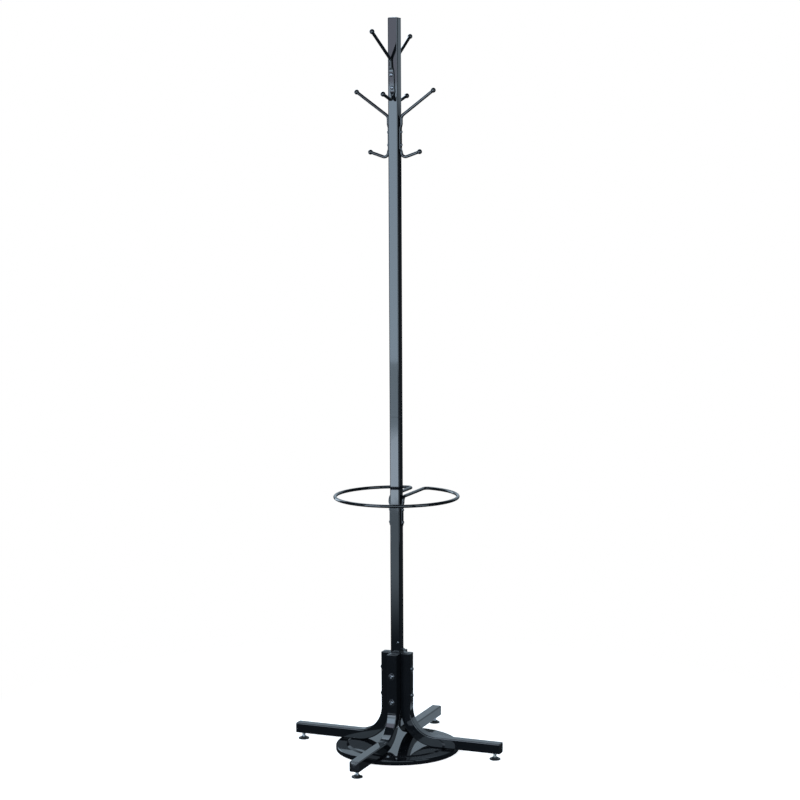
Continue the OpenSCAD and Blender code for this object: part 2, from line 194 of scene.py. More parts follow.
# Outline of the threaded insert round its hole: radius, height, fillet
INSERT_OUTLINE = [(GLIDE_HOLE_R, INSERT_TOP, 0), (GLIDE_HOLE_R, INSERT_BOTTOM, 0.4 * MM),
                  (FLANGE_R, INSERT_BOTTOM, 0.5 * MM), (FLANGE_R, LEG_UNDER, 0),
                  (SOCKET_R, LEG_UNDER, 0), (SOCKET_R, INSERT_TOP, 0), (GLIDE_HOLE_R, INSERT_TOP, 0)]

# ---- how finely the shapes are divided ----

CORNER_STEPS = 6
FILLET_STEPS = 6
ROD_COUNT = 40
CAP_EASE_STEPS = 5
HEAD_STEPS = 12
HEAD_COUNT = 96
WASHER_COUNT = 64
LEG_BEND_STEPS = 48
DISC_COUNT = 256
HOOK_LOW_STEPS = 32
HOOK_ROD_STEPS = 60
HOOK_UP_STEPS = 24
BALL_FILLET_STEPS = 6
BALL_STEPS = 28
BALL_COUNT = 48
TAB_END_STEPS = 12
TAB_STEPS = 50
RING_DROP_STEPS = 24
RING_TURN_STEPS = 30
RING_STEPS = 96
KNOB_NECK_COUNT = 32
THREAD_COUNT = 36
THREAD_ROWS_A_TURN = 10
PAD_COUNT = 96
INSERT_COUNT = 48

# ---- shapes: every function gives (points, faces) ----


def rounded_square(half, radius):
    """Outline of a square with round corners, counterclockwise."""
    points = []
    for corner in range(4):
        turn = Matrix.Rotation(corner * math.pi / 2, 2)
        for k in range(CORNER_STEPS + 1):
            a = k / CORNER_STEPS * math.pi / 2
            arc = Vector((math.cos(a), math.sin(a))) * radius
            points.append(turn @ (Vector((half - radius, half - radius)) + arc))
    return points


def stadium(width, thickness):
    """Outline of a rod pressed to that width and thickness, a circle where the two are equal."""
    b = thickness / 2
    points = []
    for k in range(ROD_COUNT):
        a = (k + 0.5) / ROD_COUNT * math.tau
        points.append(Vector((math.copysign(width / 2 - b, math.cos(a)) + b * math.cos(a), b * math.sin(a))))
    return points


def filleted(corners):
    """Open outline through the corners (x, y, radius), each one rounded with its radius."""
    points = []
    for i, (x, y, radius) in enumerate(corners):
        here = Vector((x, y))
        if radius == 0:
            points.append(here)
            continue
        before = (Vector(corners[i - 1][:2]) - here).normalized()
        after = (Vector(corners[i + 1][:2]) - here).normalized()
        half_angle = before.angle(after) / 2
        centre = here + (before + after).normalized() * radius / math.sin(half_angle)
        start = here + before * radius / math.tan(half_angle) - centre
        end = here + after * radius / math.tan(half_angle) - centre
        first = math.atan2(start.y, start.x)
        turn = (math.atan2(end.y, end.x) - first + math.pi) % math.tau - math.pi
        for k in range(FILLET_STEPS + 1):
            a = first + turn * k / FILLET_STEPS
            points.append(centre + Vector((math.cos(a), math.sin(a))) * radius)
    return points


def loft(rings, closed=False):
    """Skin over rings of equal counts, with flat ends unless it closes on itself."""
    n, count = len(rings[0]), len(rings)
    points = [p for ring in rings for p in ring]
    faces = []
    for i in range(count if closed else count - 1):
        a, b = i * n, (i + 1) % count * n
        faces += [(a + k, a + (k + 1) % n, b + (k + 1) % n, b + k) for k in range(n)]
    if not closed:
        faces += [tuple(range(n - 1, -1, -1)), tuple(range((count - 1) * n, count * n))]
    return points, faces


def lathe(profile, count):
    """Skin turned round Z from a profile of (radius, height), where a radius may be a function of
    the angle. A radius of 0 is a pole."""
    points, faces, rows = [], [], []
    for radius, z in profile:
        if radius == 0:
            rows.append([len(points)] * count)
            points.append(Vector((0, 0, z)))
            continue
        rows.append(list(range(len(points), len(points) + count)))
        for k in range(count):
            a = k / count * math.tau
            r = radius(a) if callable(radius) else radius
            points.append(Vector((r * math.cos(a), r * math.sin(a), z)))
    for low, high in zip(rows, rows[1:]):
        for k in range(count):
            m = (k + 1) % count
            ring = (low[k], low[m], high[m], high[k])
            faces.append(tuple(dict.fromkeys(ring)))
    return points, faces


def moved(shape, matrix):
    """A shape taken through a matrix."""
    return [matrix @ Vector(p) for p in shape[0]], shape[1]


def joined(shapes):
    """Several shapes as one."""
    points, faces = [], []
    for more, skin in shapes:
        faces += [tuple(i + len(points) for i in face) for face in skin]
        points += more
    return points, faces


def on_side(side):
    """Turns a shape drawn on the +X side to another side of the column."""
    return Matrix.Rotation(math.radians(SIDES[side]), 4, "Z")


def facing_out(x, y, z):
    """Puts a shape drawn along +Z at (x, y, z) with its axis along +X."""
    return Matrix.Translation((x, y, z)) @ Matrix.Rotation(math.pi / 2, 4, "Y")


def section(outline, x, z, tx, tz):
    """An outline set across a path in the XZ plane, at (x, z) where it runs along (tx, tz)."""
    across, along = Vector((0, 1, 0)), Vector((tx, 0, tz)).normalized()
    normal = along.cross(across)
    return [Vector((x, 0, z)) + across * p.x + normal * p.y for p in outline]


def tube(path):
    """Square tube with a wall along a path of (x, z, tx, tz), its rims eased."""
    outer = rounded_square(HALF, TUBE_CORNER)
    rim = rounded_square(HALF - TUBE_CHAMFER, TUBE_CORNER - TUBE_CHAMFER)
    bore = rounded_square(HALF - TUBE_WALL, TUBE_CORNER - TUBE_WALL)

    def shifted(point, by):
        x, z, tx, tz = point
        return x + tx * by, z + tz * by, tx, tz

    rings = [section(rim, *path[0]), section(outer, *shifted(path[0], TUBE_CHAMFER))]
    rings += [section(outer, *point) for point in path[1:-1]]
    rings += [section(outer, *shifted(path[-1], -TUBE_CHAMFER)), section(rim, *path[-1])]
    rings += [section(bore, *point) for point in reversed(path)]
    return loft(rings, closed=True)


def tube_cap(height, crown_r):
    """Moulded cap for the end of a tube, from its shoulder on the XY plane up to its crown."""

    def crowned(inset, below):
        outline = rounded_square(HALF - inset, max(TUBE_CORNER - inset, CAP_LEAST_CORNER))
        return [Vector((*p, height - p.length_squared / (2 * crown_r) - below)) for p in outline]

    rings = [[Vector((*p, 0)) for p in rounded_square(HALF - CAP_GAP, TUBE_CORNER - CAP_GAP)],
             [Vector((*p, CAP_GAP)) for p in rounded_square(HALF, TUBE_CORNER)]]
    for k in range(CAP_EASE_STEPS + 1):
        a = k / CAP_EASE_STEPS * math.pi / 2
        rings.append(crowned(CAP_EASE * (1 - math.cos(a)), CAP_EASE * (1 - math.sin(a))))
    rings += [crowned(inset, 0) for inset in CAP_INSETS]
    return loft(rings)


def hex_outline(across_flats):
    """Radius of a hexagon at an angle."""
    return lambda a: across_flats / 2 / math.cos((a + math.pi / 6) % (math.pi / 3) - math.pi / 6)


def cross_outline(length, width):
    """Radius of the outline of a cross at an angle."""
    least_sine = 0.01

    def radius(a):
        b = (a + math.pi / 4) % (math.pi / 2) - math.pi / 4
        return min(length / 2 / math.cos(b), width / 2 / max(abs(math.sin(b)), least_sine))

    return radius


def domed_head(d, h, recess=None, recess_r=0.0, depth=0.0):
    """Round head on the XY plane, with a driving recess of that outline in its crown."""
    ball_r = (h * h + d * d / 4) / (2 * h)

    def height(r):
        return h - ball_r + math.sqrt(ball_r * ball_r - r * r)

    rim = d / 2 * HEAD_CROWN_SHARE
    profile = [(0, 0), (d / 2 - HEAD_SEAT_EASE, 0), (d / 2, HEAD_EDGE_H)]
    crown = [rim - k / HEAD_STEPS * (rim - recess_r) for k in range(HEAD_STEPS + 1)]
    profile += [(r, height(r)) for r in crown if r > 0]
    if recess:
        mouth = height(recess_r)
        floor = mouth - depth
        profile += [(lambda a: recess(a) * RECESS_FLARE, mouth - RECESS_LIP),
                    (recess, mouth - RECESS_MOUTH), (recess, floor), (0, floor - RECESS_CONE)]
    else:
        profile += [(0, h)]
    return lathe(profile, HEAD_COUNT)


def cross_head():
    """Head of the small black screws, with a cross recess."""
    return domed_head(SCREW_HEAD_D, SCREW_HEAD_H, cross_outline(CROSS_L, CROSS_W), RECESS_R, CROSS_DEPTH)


# ---- materials: sizes of noise are in metres ----

MIX_A, MIX_B, MIX_RESULT = 6, 7, 2
UPRIGHT_SLOPE, LEVEL_SLOPE = 0.55, 0.98
ENAMEL = (0.0034, 0.0038, 0.0046)
ENAMEL_IOR = 1.5
DISC_ENAMEL_IOR = 1.42
ENAMEL_ROUGHNESS = (0.045, 0.1)
THIN_ENAMEL = 1.5
PEEL_DEPTH = 0.004 * MM
DUST = (0.16, 0.155, 0.15)
DUST_COVER = 0.5
DUST_ROUGHNESS = 0.3
PLASTIC_IOR = 1.47
SCUFFED_PLASTIC = 2.2
SPARK_GRAIN_DEPTH = 0.012 * MM
PRESSING_DEPTH = 0.008 * MM
CRYSTAL_DEPTH = 0.006 * MM
STREAK_DEPTH = 0.01 * MM
SLEEVE_ROUGHNESS = (0.25, 0.45)
NOISE_BAND = (0.3, 0.7)


def node(tree, kind, **settings):
    """A new node with its settings, and inputs named by in_."""
    made = tree.nodes.new(kind)
    for key, value in settings.items():
        if key.startswith("in_"):
            made.inputs[key[3:].replace("_", " ")].default_value = value
        else:
            setattr(made, key, value)
    return made


def ramp(tree, source, low, high, out_low=0.0, out_high=1.0):
    """source taken smoothly from low..high to out_low..out_high."""
    made = node(tree, "ShaderNodeMapRange", interpolation_type="SMOOTHSTEP",
                in_From_Min=low, in_From_Max=high, in_To_Min=out_low, in_To_Max=out_high)
    tree.links.new(source, made.inputs["Value"])
    return made.outputs["Result"]


def maths(tree, operation, a, b):
    """a and b, each a socket or a number, through a Math node."""
    made = node(tree, "ShaderNodeMath", operation=operation)
    for socket, value in zip(made.inputs, (a, b)):
        if isinstance(value, (int, float)):
            socket.default_value = value
        else:
            tree.links.new(value, socket)
    return made.outputs["Value"]


class Finish:
    """A Principled material and short ways to add procedural nodes to it."""

    def __init__(self, name, **constants):
        self.material = bpy.data.materials.new(name)
        self.material.use_nodes = True
        self.tree = self.material.node_tree
        self.shader = self.tree.nodes["Principled BSDF"]
        for socket, value in constants.items():
            self.shader.inputs[socket.replace("_", " ")].default_value = value
        self.place = node(self.tree, "ShaderNodeTexCoord").outputs["Object"]

    def link(self, source, target):
        self.tree.links.new(source, target)

    def noise(self, size, detail, stretch=None, distortion=0.0):
        """Noise whose features are about that size, in metres."""
        made = node(self.tree, "ShaderNodeTexNoise", in_Scale=1 / size, in_Detail=detail,
                    in_Distortion=distortion)
        place = self.place
        if stretch:
            mapping = node(self.tree, "ShaderNodeMapping", in_Scale=stretch)
            self.link(place, mapping.inputs["Vector"])
            place = mapping.outputs["Vector"]
        self.link(place, made.inputs["Vector"])
        return made.outputs["Fac"]

    def patches(self, low, high, out_low=0.0, out_high=1.0, **noise):
        """Noise taken smoothly from low..high to out_low..out_high."""
        return self.ranged(self.noise(**noise), low, high, out_low, out_high)

    def roughened(self, smoothest, roughest, **noise):
        """Roughness that wanders between two values."""
        self.set("Roughness", self.patches(*NOISE_BAND, smoothest, roughest, **noise))

    def ranged(self, source, *span):
        """source through a ramp."""
        return ramp(self.tree, source, *span)

    def product(self, a, b):
        """a times b, each a socket or a number."""
        return maths(self.tree, "MULTIPLY", a, b)

    def total(self, a, b):
        """a plus b, each a socket or a number."""
        return maths(self.tree, "ADD", a, b)

    def mixed(self, factor, a, b):
        """Colour between a and b, each a colour or a socket."""
        made = node(self.tree, "ShaderNodeMix", data_type="RGBA")
        self.link(factor, made.inputs["Factor"])
        for socket, value in (made.inputs[MIX_A], a), (made.inputs[MIX_B], b):
            if isinstance(value, tuple):
                socket.default_value = (*value, 1)
            else:
                self.link(value, socket)
        return made.outputs[MIX_RESULT]

    def facing_up(self):
        """1 on faces that look straight up, 0 on upright ones."""
        geometry = node(self.tree, "ShaderNodeNewGeometry")
        split = node(self.tree, "ShaderNodeSeparateXYZ")
        self.link(geometry.outputs["Normal"], split.inputs["Vector"])
        return self.ranged(split.outputs["Z"], UPRIGHT_SLOPE, LEVEL_SLOPE)

    def bumped(self, *layers):
        """Bump of several (height source, depth in metres), stacked."""
        normal = None
        for source, depth in layers:
            made = node(self.tree, "ShaderNodeBump", in_Strength=1.0, in_Distance=depth)
            self.link(source, made.inputs["Height"])
            if normal:
                self.link(normal, made.inputs["Normal"])
            normal = made.outputs["Normal"]
        self.set("Normal", normal)

    def set(self, socket, source):
        self.link(source, self.shader.inputs[socket])


def lighter(colour, by):
    """A colour times a factor."""
    return tuple(c * by for c in colour)


def gloss_enamel(name, peel_size, wave_depth, ior=ENAMEL_IOR):
    """Stoved black gloss enamel: orange peel, long waves, thin patches, smears and a little dust."""
    finish = Finish(name, IOR=ior)
    smears = finish.patches(low=0.45, high=0.8, size=0.05, detail=4, distortion=0.6)
    dust_grain = finish.patches(low=0.62, high=0.72, size=0.0011, detail=2)
    dust_patches = finish.patches(low=0.4, high=0.75, size=0.04, detail=3)
    dust = finish.product(finish.product(dust_grain, dust_patches), finish.facing_up())
    depth = finish.mixed(finish.noise(size=0.03, detail=3), ENAMEL, lighter(ENAMEL, THIN_ENAMEL))
    finish.set("Base Color", finish.mixed(finish.product(dust, DUST_COVER), depth, DUST))
    rough = finish.ranged(smears, 0, 1, *ENAMEL_ROUGHNESS)
    finish.set("Roughness", finish.total(rough, finish.product(dust, DUST_ROUGHNESS)))
    waves, peel = finish.noise(size=0.08, detail=1), finish.noise(size=peel_size, detail=1)
    finish.bumped((waves, wave_depth), (peel, PEEL_DEPTH))
    return finish.material


def blackened_steel(name):
    """Bright black plating on pressed heads: fine pressing marks and rubbed, duller spots."""
    finish = Finish(name, Metallic=0.9)
    plating, rubbed = (0.125, 0.13, 0.14), (0.17, 0.165, 0.16)
    rub = finish.patches(low=0.5, high=0.75, size=0.004, detail=4)
    finish.set("Base Color", finish.mixed(rub, plating, rubbed))
    finish.roughened(0.08, 0.2, size=0.0025, detail=3)
    finish.bumped((finish.noise(size=0.0008, detail=3), PRESSING_DEPTH))
    return finish.material


def moulded_plastic(name, colour, smoothest, roughest, grain):
    """Moulded plastic: a fine spark-eroded grain, softer than paint, with scuffs."""
    finish = Finish(name, IOR=PLASTIC_IOR)
    scuffs = finish.patches(low=0.5, high=0.8, size=0.012, detail=5, distortion=0.8)
    finish.set("Base Color", finish.mixed(scuffs, colour, lighter(colour, SCUFFED_PLASTIC)))
    finish.roughened(smoothest, roughest, size=0.009, detail=3)
    finish.bumped((finish.noise(size=grain, detail=2), SPARK_GRAIN_DEPTH))
    return finish.material


def zinc_plate(name):
    """Bright zinc on rolled threads: bluish, with yellowed patches and a crystalline grain."""
    finish = Finish(name, Metallic=1.0)
    bluish, yellowed = (0.72, 0.74, 0.78), (0.66, 0.63, 0.55)
    patches = finish.patches(low=0.4, high=0.75, size=0.006, detail=4)
    finish.set("Base Color", finish.mixed(patches, bluish, yellowed))
    finish.roughened(0.18, 0.34, size=0.003, detail=3)
    finish.bumped((finish.noise(size=0.0006, detail=3), CRYSTAL_DEPTH))
    return finish.material


def rolled_steel(name):
    """Bare rolled steel inside the column joint: streaks along its length and light oil."""
    finish = Finish(name, Metallic=1.0)
    dark, bright = (0.33, 0.33, 0.34), (0.52, 0.51, 0.5)
    streaks = finish.noise(size=0.004, detail=4, stretch=(1, 1, 0.05))
    finish.set("Base Color", finish.mixed(streaks, dark, bright))
    finish.set("Roughness", finish.ranged(streaks, *NOISE_BAND, *SLEEVE_ROUGHNESS))
    finish.bumped((streaks, STREAK_DEPTH))
    return finish.material


FINISHES = {
    "enamelled_tube": gloss_enamel("tube_enamel", peel_size=0.0035, wave_depth=0.05 * MM),
    "enamelled_rod": gloss_enamel("rod_enamel", peel_size=0.0025, wave_depth=0.01 * MM),
    "enamelled_disc": gloss_enamel("disc_enamel", peel_size=0.004, wave_depth=0.08 * MM,
                                   ior=DISC_ENAMEL_IOR),
    "black_fasteners": blackened_steel("black_zinc"),
    "cap_plastic": moulded_plastic("cap_moulding", colour=(0.010, 0.010, 0.011),
                                   smoothest=0.16, roughest=0.3, grain=0.0007),
    "glide_plastic": moulded_plastic("glide_moulding", colour=(0.008, 0.008, 0.008),
                                     smoothest=0.3, roughest=0.45, grain=0.0009),
    "zinc_steel": zinc_plate("zinc_plate"),
    "bare_sleeve": rolled_steel("rolled_steel"),
}

# ---- pieces ----

SHARP_ANGLE = 32
THREAD_SHARP_ANGLE = 60


def piece(name, shape, slot, body, *nodes, sharp=SHARP_ANGLE):
    """Makes a shape a piece that rides on a body and stands for CAD nodes."""
    mesh = bpy.data.meshes.new(name)
    mesh.from_pydata([tuple(p) for p in shape[0]], [], shape[1])
    mesh.shade_smooth()
    mesh.set_sharp_from_angle(angle=math.radians(sharp))
    mesh.materials.append(FINISHES[slot])
    obj = bpy.data.objects.new(name, mesh)
    bpy.context.scene.collection.objects.link(obj)
    weighted = obj.modifiers.new("even_normals", "WEIGHTED_NORMAL")
    weighted.keep_sharp = True
    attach(obj, body)
    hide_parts(*nodes)


def build_column():
    for name, low, high in (("lower", COLUMN_BOTTOM, JOINT_Z), ("upper", JOINT_Z, COLUMN_SHOULDER)):
        shape = tube([(0, low, 0, 1), (0, (low + high) / 2, 0, 1), (0, high, 0, 1)])
        piece(f"column_tube_{name}", shape, "enamelled_tube", "rack", f"column_{name}")
    cap = tube_cap(COLUMN_TOP - COLUMN_SHOULDER, COLUMN_CROWN_R)
    cap = moved(cap, Matrix.Translation((0, 0, COLUMN_SHOULDER)))
    piece("column_cap", cap, "cap_plastic", "rack", "column_top_cap")


def build_leg(side):
    path = [(UPRIGHT_X, LEG_SHOULDER, 0, -1)]
    for k in range(LEG_BEND_STEPS + 1):
        a = k / LEG_BEND_STEPS * math.pi / 2
        path.append((BEND_X - LEG_BEND_R * math.cos(a), BEND_Z - LEG_BEND_R * math.sin(a),
                     math.sin(a), -math.cos(a)))
    path.append((LEG_TIP_SHOULDER, LEG_AXIS_Z, 1, 0))
    piece(f"leg_tube_{side}", moved(tube(path), on_side(side)), "enamelled_tube", "rack", f"leg_{side}")
    top = tube_cap(LEG_TOP - LEG_SHOULDER, LEG_CROWN_R)
    top = moved(top, on_side(side) @ Matrix.Translation((UPRIGHT_X, 0, LEG_SHOULDER)))
    piece(f"leg_upper_cap_{side}", top, "cap_plastic", "rack", f"leg_top_cap_{side}")
    tip = tube_cap(LEG_TIP - LEG_TIP_SHOULDER, LEG_CROWN_R)
    tip = moved(tip, on_side(side) @ facing_out(LEG_TIP_SHOULDER, 0, LEG_AXIS_Z))
    piece(f"leg_tip_cap_{side}", tip, "cap_plastic", "rack", f"leg_end_cap_{side}")


def build_leg_fasteners():
    bore, rim = WASHER_BORE_R, WASHER_D / 2
    washer = lathe(filleted([(bore, WASHER_T / 2, 0), (bore, 0, WASHER_EDGE_R), (rim, 0, WASHER_EDGE_R),
                             (rim, WASHER_T, WASHER_RIM_R), (bore, WASHER_T, WASHER_EDGE_R),
                             (bore, WASHER_T / 2, 0)]), WASHER_COUNT)
    heads = {"bolt": BOLT_HEAD_H, "cap_nut": CAP_NUT_H}
    made = {"bolt": [], "cap_nut": [], "washer": []}
    for side in SIDES:
        kind = "bolt" if side in ("front", "right") else "cap_nut"
        head = domed_head(BOLT_HEAD_D, heads[kind], hex_outline(HEX_KEY), RECESS_R, HEX_DEPTH)
        for z in BOLT_Z[side]:
            seat = on_side(side) @ facing_out(CLUSTER_FACE, 0, z)
            made["washer"].append(moved(washer, seat))
            made[kind].append(moved(head, seat @ Matrix.Translation((0, 0, WASHER_T))))
    piece("leg_bolt_heads", joined(made["bolt"]), "black_fasteners", "rack", "leg_bolts")
    piece("leg_nut_heads", joined(made["cap_nut"]), "black_fasteners", "rack", "leg_cap_nuts")
    piece("leg_bolt_washers", joined(made["washer"]), "black_fasteners", "rack", "leg_washers")


def build_disc():
    band, step_r = DISC_TOP - DISC_STEP_H, DISC_CENTRE_R + DISC_STEP_W
    inner = DISC_R - DISC_SHEET
    outline = filleted([
        (0, DISC_TOP, 0), (DISC_CENTRE_R, DISC_TOP, DISC_STEP_FILLET), (step_r, band, DISC_STEP_FILLET),
        (DISC_R, band, DISC_EDGE_R), (DISC_R, DISC_BOTTOM, DISC_HEM_R), (inner, DISC_BOTTOM, DISC_HEM_R),
        (inner, band - DISC_SHEET, DISC_SKIRT_FILLET), (step_r, band - DISC_SHEET, DISC_STEP_FILLET),
        (DISC_CENTRE_R, DISC_TOP - DISC_SHEET, DISC_STEP_FILLET), (0, DISC_TOP - DISC_SHEET, 0)])
    piece("floor_disc", lathe(outline[::-1], DISC_COUNT), "enamelled_disc", "rack", "base_disc")
    head = cross_head()
    down = Matrix.Translation((DISC_SCREW_R, 0, DISC_TOP - DISC_SHEET)) @ Matrix.Rotation(math.pi, 4, "X")
    screws = joined([moved(head, on_side(side) @ down) for side in SIDES])
    piece("disc_screw_heads", screws, "black_fasteners", "rack", "base_disc_screws")


def smooth(value, low, high):
    """0 at low, 1 at high, smooth between."""
    t = min(max((value - low) / (high - low), 0), 1)
    return t * t * (3 - 2 * t)


def pressed_section(z, flatness, rod_d):
    """Section of a rod that stands on the column's face, flattened by flatness from 0 to 1."""
    width = rod_d + (FLAT_W - rod_d) * flatness
    thickness = rod_d + (FLAT_T - rod_d) * flatness
    x = HALF + ROD_GAP * (1 - flatness) + thickness / 2
    return section(stadium(width, thickness), x, z, 0, 1)


def at_hook(side):
    """Places a hook drawn on the +X side, its upper ball at height 0, leaning about its lower screw."""
    pivot = HOOK_SCREW_DROPS[0]
    lean = Matrix.Translation((0, 0, HOOK_Z[side] + pivot)) @ Matrix.Rotation(HOOK_TILT[side], 4, "X")
    return on_side(side) @ lean @ Matrix.Translation((0, 0, -pivot))


def build_hook(side):
    rod_x = HALF + ROD_GAP + HOOK_ROD_D / 2
    up_r, up_a = HOOK_UPPER_BEND
    low_r, low_a = HOOK_LOWER_BEND
    up_run = (HOOK_UPPER_REACH - rod_x - up_r * (1 - math.cos(up_a))) / math.sin(up_a)
    up_z = -up_r * math.sin(up_a) - up_run * math.cos(up_a)
    low_run = (HOOK_LOWER_REACH - rod_x - low_r * (1 - math.cos(low_a))) / math.sin(low_a)
    low_z = -HOOK_BALL_DROP + low_r * math.sin(low_a) + low_run * math.cos(low_a)
    rod = stadium(HOOK_ROD_D, HOOK_ROD_D)
    low_way = Vector((math.sin(low_a), -math.cos(low_a)))
    up_way = Vector((math.sin(up_a), math.cos(up_a)))
    low_ball = Vector((HOOK_LOWER_REACH, -HOOK_BALL_DROP))
    up_ball = Vector((HOOK_UPPER_REACH, 0))
    twist = Matrix.Translation((rod_x, 0, 0)) @ Matrix.Rotation(-HOOK_TWIST, 4, "Z")
    twist = twist @ Matrix.Translation((-rod_x, 0, 0))

    def prong(x, z, tx, tz):
        return [twist @ p for p in section(rod, x, z, tx, tz)]

    rings = []
    for far in (BALL_SOCKET, low_run / 2):
        rings.append(prong(*(low_ball - low_way * far), *-low_way))
    for k in range(HOOK_LOW_STEPS + 1):
        a = low_a * (1 - k / HOOK_LOW_STEPS)
        rings.append(prong(rod_x + low_r * (1 - math.cos(a)), low_z - low_r * math.sin(a),
                           -math.sin(a), math.cos(a)))
    for k in range(1, HOOK_ROD_STEPS):
        z = low_z + (up_z - low_z) * k / HOOK_ROD_STEPS
        flatness = smooth(z, low_z, HOOK_FLAT_BOTTOM + HOOK_FLAT_RUN_IN)
        flatness *= 1 - smooth(z, *(HOOK_FLAT_TOP + run for run in HOOK_FLAT_RUN_OUT))
        rings.append(pressed_section(z, flatness, HOOK_ROD_D))
    for k in range(HOOK_UP_STEPS + 1):
        a = up_a * k / HOOK_UP_STEPS
        rings.append(prong(rod_x + up_r * (1 - math.cos(a)), up_z + up_r * math.sin(a),
                           math.sin(a), math.cos(a)))
    for far in (up_run / 2, BALL_SOCKET):
        rings.append(prong(*(up_ball - up_way * far), *up_way))
    place = at_hook(side)
    piece(f"hook_rod_{side}", moved(loft(rings), place), "enamelled_rod", "rack", f"hook_{side}")
    balls = []
    for ball, turn in ((up_ball, up_a), (low_ball, math.pi - low_a)):
        way = Matrix.Translation((ball.x, 0, ball.y)) @ Matrix.Rotation(turn, 4, "Y")
        balls.append(moved(hook_ball(), place @ twist @ way))
    piece(f"hook_ends_{side}", joined(balls), "enamelled_rod", "rack", f"hook_balls_{side}")


def hook_ball():
    """Ball with a small fillet down to the rod, its rod along -Z."""
    centre_r, reach = HOOK_ROD_D / 2 + BALL_FILLET, HOOK_BALL_R + BALL_FILLET
    centre_z = -math.sqrt(reach * reach - centre_r * centre_r)
    end = math.atan2(-centre_z, -centre_r)
    meet = math.atan2(centre_r, centre_z)
    profile = [(0, centre_z)]
    for k in range(BALL_FILLET_STEPS + 1):
        a = math.pi + (end - math.pi) * k / BALL_FILLET_STEPS
        profile.append((centre_r + BALL_FILLET * math.cos(a), centre_z + BALL_FILLET * math.sin(a)))
    for k in range(1, BALL_STEPS):
        a = meet * (1 - k / BALL_STEPS)
        profile.append((HOOK_BALL_R * math.sin(a), HOOK_BALL_R * math.cos(a)))
    profile.append((0, HOOK_BALL_R))
    return lathe(profile, BALL_COUNT)


def build_hook_screws():
    head = cross_head()
    hooks = [moved(head, at_hook(side) @ facing_out(HALF + FLAT_T, 0, drop))
             for side in SIDES for drop in HOOK_SCREW_DROPS]
    piece("hook_screw_heads", joined(hooks), "black_fasteners", "rack", "hook_screws")
    ring = [moved(head, on_side(side) @ facing_out(HALF + FLAT_T, 0, z))
            for side in ("right", "left") for z in RING_SCREW_Z]
    piece("ring_screw_heads", joined(ring), "black_fasteners", "rack", "umbrella_ring_screws")


def build_ring():
    rod_x = HALF + ROD_GAP + RING_WIRE_D / 2
    bend = RING_BEND_R
    turn_y = math.sqrt((RING_R - bend) ** 2 - (rod_x + bend) ** 2)
    turn_a = math.atan2(rod_x + bend, turn_y)
    wire = stadium(RING_WIRE_D, RING_WIRE_D)

    def across(x, y, z, along, lateral):
        """The wire's outline across a path in space."""
        normal = along.cross(lateral)
        return [Vector((x, y, z)) + lateral * p.x + normal * p.y for p in wire]

    rings = []
    drop_z = RING_Z - bend
    end_r = FLAT_W / 2
    for k in range(1, TAB_END_STEPS + 1):
        a = k / TAB_END_STEPS * math.pi / 2
        outline = pressed_section(RING_TAB_BOTTOM + end_r * (1 - math.cos(a)), 1, RING_WIRE_D)
        rings.append([Vector((p.x, p.y * math.sin(a), p.z)) for p in outline])
    low_z = RING_TAB_BOTTOM + end_r
    for k in range(1, TAB_STEPS):
        z = low_z + (drop_z - low_z) * k / TAB_STEPS
        flatness = 1 - smooth(z, *(RING_TAB_TOP + run for run in RING_TAB_RUN))
        rings.append(pressed_section(z, flatness, RING_WIRE_D))
    for k in range(RING_DROP_STEPS + 1):
        a = k / RING_DROP_STEPS * math.pi / 2
        along = Vector((0, math.sin(a), math.cos(a)))
        lateral = Vector((0, math.cos(a), -math.sin(a)))
        rings.append(across(rod_x, bend - bend * math.cos(a), drop_z + bend * math.sin(a), along, lateral))
    down = Vector((0, 0, -1))
    sweep = math.pi / 2 + turn_a
    for k in range(RING_TURN_STEPS + 1):
        a = math.pi - sweep * k / RING_TURN_STEPS
        along = Vector((math.sin(a), -math.cos(a), 0))
        x, y = rod_x + bend + bend * math.cos(a), turn_y + bend * math.sin(a)
        rings.append(across(x, y, RING_Z, along, down))
    start = math.pi / 2 - turn_a
    for k in range(1, RING_STEPS + 1):
        a = start - (start + math.pi / 2) * k / RING_STEPS
        along = Vector((math.sin(a), -math.cos(a), 0))
        rings.append(across(RING_R * math.cos(a), RING_R * math.sin(a), RING_Z, along, down))
    rings += [[Vector((-p.x, p.y, p.z)) for p in ring] for ring in rings[-2::-1]]
    piece("umbrella_wire", loft(rings), "enamelled_rod", "rack", "umbrella_ring")


def build_base_screws():
    small = domed_head(FOOT_SCREW_D, FOOT_SCREW_H)
    neck = [(0, 0), (KNOB_NECK_R, 0), (KNOB_NECK_R, KNOB_NECK_TOP), (0, KNOB_NECK_TOP)]
    knob = joined([moved(domed_head(KNOB_D, KNOB_H), Matrix.Translation((0, 0, KNOB_SEAT))),
                   lathe(neck, KNOB_NECK_COUNT)])
    shapes = [moved(small, on_side("front") @ facing_out(HALF, FOOT_SCREW_Y, FOOT_SCREW_Z)),
              moved(knob, on_side("right") @ facing_out(HALF, 0, KNOB_Z))]
    piece("column_screw_heads", joined(shapes), "black_fasteners", "rack", "column_base_screws")


def thread(bottom, top):
    """Rolled thread along Z with chamfered ends."""
    rows = int((top - bottom) / (THREAD_PITCH / THREAD_ROWS_A_TURN))
    profile = [(0, bottom)]

    def radius_at(z):
        chamfer = min(z - bottom, top - z)

        def radius(a):
            turn = (z / THREAD_PITCH - a / math.tau) % 1.0
            ridge = smooth(1 - abs(2 * turn - 1), *THREAD_FLANK)
            return min(STUD_R - THREAD_DEPTH * (1 - ridge), STUD_R - THREAD_DEPTH + chamfer)

        return radius

    heights = [bottom + (top - bottom) * k / rows for k in range(rows + 1)]
    profile += [(radius_at(z), z) for z in heights]
    profile.append((0, top))
    return lathe(profile, THREAD_COUNT)


